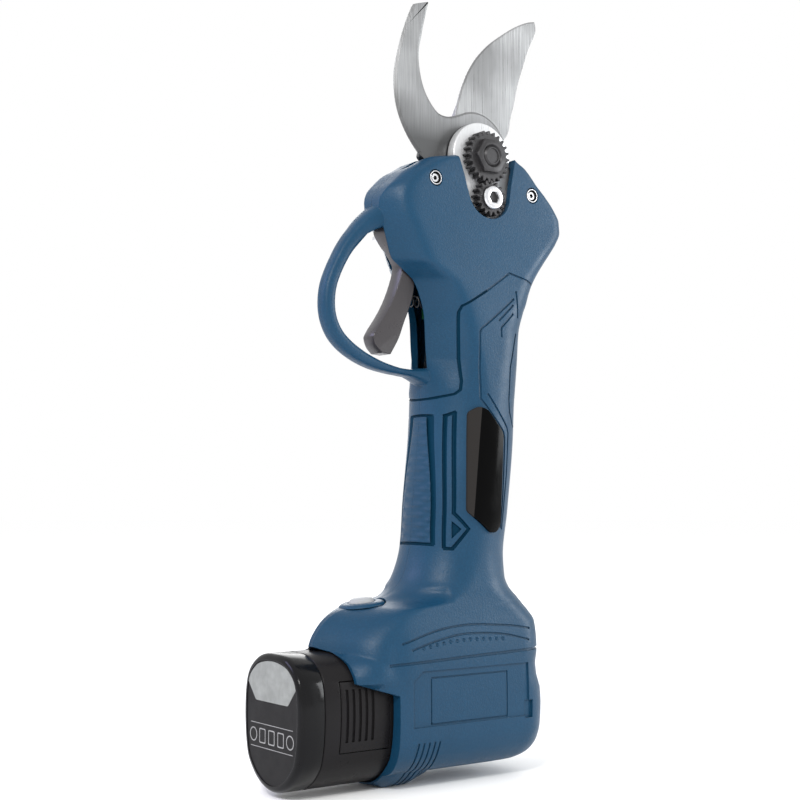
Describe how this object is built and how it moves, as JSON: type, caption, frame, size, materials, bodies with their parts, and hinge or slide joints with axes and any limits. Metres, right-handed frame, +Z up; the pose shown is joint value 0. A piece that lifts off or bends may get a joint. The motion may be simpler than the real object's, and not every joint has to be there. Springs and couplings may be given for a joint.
{
  "type": "battery electric pruner",
  "caption": "Cordless pruning shear: a slim two-shell handle with a trigger in a loop guard, a hooked fixed blade, a geared moving blade and a slide-in battery pack at its foot.",
  "frame": {"origin": "centre of the bounding box's bottom face, on the plane between the two shells", "axes": "+Z up from the battery's end to the blade tips, -X towards the trigger and the battery's end face, -Y towards the toothed pivot nut"},
  "size_m": [0.1295, 0.0496, 0.303],
  "materials": {
    "blue_plastic": "fine-textured moulded plastic",
    "black_gloss": "glossy moulded plastic",
    "black_plastic": "satin moulded plastic",
    "trigger_grey": "satin moulded plastic",
    "blade_steel": "ground and brushed",
    "aluminium": "machined",
    "black_oxide": "black oxide",
    "gear_steel": "machined, lightly oiled",
    "screw_steel": "bright zinc",
    "copper": "plain copper",
    "magnet": "sintered",
    "board_green": "solder mask",
    "cell_wrap": "heat-shrink sleeve",
    "red_wire": "soft insulation",
    "black_wire": "soft insulation",
    "button_grey": "satin moulded plastic"
  },
  "bodies": {
    "housing": {"badge_left": "black_gloss", "badge_right": "black_gloss", "battery_contact_left": "copper", "battery_contact_right": "copper", "battery_lead_black": "black_wire", "battery_lead_red": "red_wire", "button_bezel": "blue_plastic", "button_spring": "screw_steel", "control_board": "board_green", "fixed_blade": "blade_steel", "head_frame": "aluminium", "head_screw_1": "screw_steel", "head_screw_2": "screw_steel", "hook_screw": "screw_steel", "left_shell": "blue_plastic", "lock_gear": "black_oxide", "lock_screw": "screw_steel", "motor_can": "gear_steel", "motor_end_cap": "black_plastic", "motor_lead_black": "black_wire", "motor_lead_red": "red_wire", "motor_magnet_ring": "magnet", "pinion_bearing_lower": "gear_steel", "pinion_bearing_upper": "gear_steel", "pivot_bolt": "black_oxide", "pivot_nut": "black_oxide", "power_switch": "black_plastic", "right_shell": "blue_plastic", "ring_gear_case": "gear_steel", "shell_screw_1": "screw_steel", "shell_screw_2": "screw_steel", "shell_screw_3": "screw_steel", "shell_screw_4": "screw_steel", "terminal_block": "black_plastic", "trigger_pin": "screw_steel", "trigger_sensor_board": "board_green", "trigger_spring": "screw_steel"},
    "blade": {"moving_blade": "blade_steel", "sector_gear": "gear_steel"},
    "pinion": {"bevel_pinion": "gear_steel", "planet_carrier": "gear_steel"},
    "rotor": {"sun_shaft": "gear_steel", "motor_armature": "copper"},
    "planet_1": {"planet_gear_1": "gear_steel"},
    "planet_2": {"planet_gear_2": "gear_steel"},
    "planet_3": {"planet_gear_3": "gear_steel"},
    "trigger": {"trigger": "trigger_grey", "trigger_magnet": "screw_steel"},
    "power_button": {"power_button": "button_grey"},
    "battery": {"battery_shell": "black_plastic", "battery_cap": "black_gloss", "battery_board": "board_green", "cell_1": "cell_wrap", "cell_2": "cell_wrap", "cell_3": "cell_wrap", "cell_4": "cell_wrap", "latch_spring_left": "screw_steel", "latch_spring_right": "screw_steel"},
    "latch_left": {"battery_latch_left": "black_plastic"},
    "latch_right": {"battery_latch_right": "black_plastic"}
  },
  "joints": [
    {"name": "blade_pivot", "type": "hinge", "parent": "housing", "child": "blade", "pos_m": [0.025, 0, 0.2382], "axis": [0, -1, 0], "range_deg": [0, 48]},
    {"name": "pinion_spin", "type": "hinge", "parent": "housing", "child": "pinion", "pos_m": [0.02277, 0.0015, 0.19826], "axis": [0.0558, 0, 0.9984], "range_deg": [-150, 5]},
    {"name": "rotor_spin", "type": "hinge", "parent": "housing", "child": "rotor", "pos_m": [0.01942, 0.0015, 0.13836], "axis": [0.0558, 0, 0.9984], "range_deg": [-660, 10]},
    {"name": "planet_spin_1", "type": "hinge", "parent": "pinion", "child": "planet_1", "pos_m": [0.02866, 0.0015, 0.17064], "axis": [0.0558, 0, 0.9984], "range_deg": [-5, 410]},
    {"name": "planet_spin_2", "type": "hinge", "parent": "pinion", "child": "planet_2", "pos_m": [0.01754, 0.00793, 0.17126], "axis": [0.0558, 0, 0.9984], "range_deg": [-5, 410]},
    {"name": "planet_spin_3", "type": "hinge", "parent": "pinion", "child": "planet_3", "pos_m": [0.01754, -0.00493, 0.17126], "axis": [0.0558, 0, 0.9984], "range_deg": [-5, 410]},
    {"name": "trigger_pull", "type": "hinge", "parent": "housing", "child": "trigger", "pos_m": [-0.013, 0, 0.2048], "axis": [0, -1, 0], "range_deg": [0, 11], "stiffness_Nm_per_rad": 0.4, "springref_deg": -11.46, "deforming": ["trigger_spring"]},
    {"name": "power_press", "type": "slide", "parent": "housing", "child": "power_button", "axis": [0.1219, 0, -0.9925], "range_m": [0, 0.0012], "stiffness_N_per_m": 1200, "springref_m": -0.001, "deforming": ["button_spring"]},
    {"name": "battery_slide", "type": "slide", "parent": "housing", "child": "battery", "axis": [-1, 0, 0], "range_m": [0, 0.105]},
    {"name": "latch_left_press", "type": "slide", "parent": "battery", "child": "latch_left", "axis": [0, 1, 0], "range_m": [0, 0.0015], "stiffness_N_per_m": 1500, "springref_m": -0.001, "deforming": ["latch_spring_left"]},
    {"name": "latch_right_press", "type": "slide", "parent": "battery", "child": "latch_right", "axis": [0, -1, 0], "range_m": [0, 0.0015], "stiffness_N_per_m": 1500, "springref_m": -0.001, "deforming": ["latch_spring_right"]}
  ],
  "couplings": [
    {"joint": "pinion_spin", "follows": "blade_pivot", "ratio": -3},
    {"joint": "rotor_spin", "follows": "blade_pivot", "ratio": -13.5},
    {"joint": "planet_spin_1", "follows": "blade_pivot", "ratio": 8.4},
    {"joint": "planet_spin_2", "follows": "blade_pivot", "ratio": 8.4},
    {"joint": "planet_spin_3", "follows": "blade_pivot", "ratio": 8.4}
  ]
}
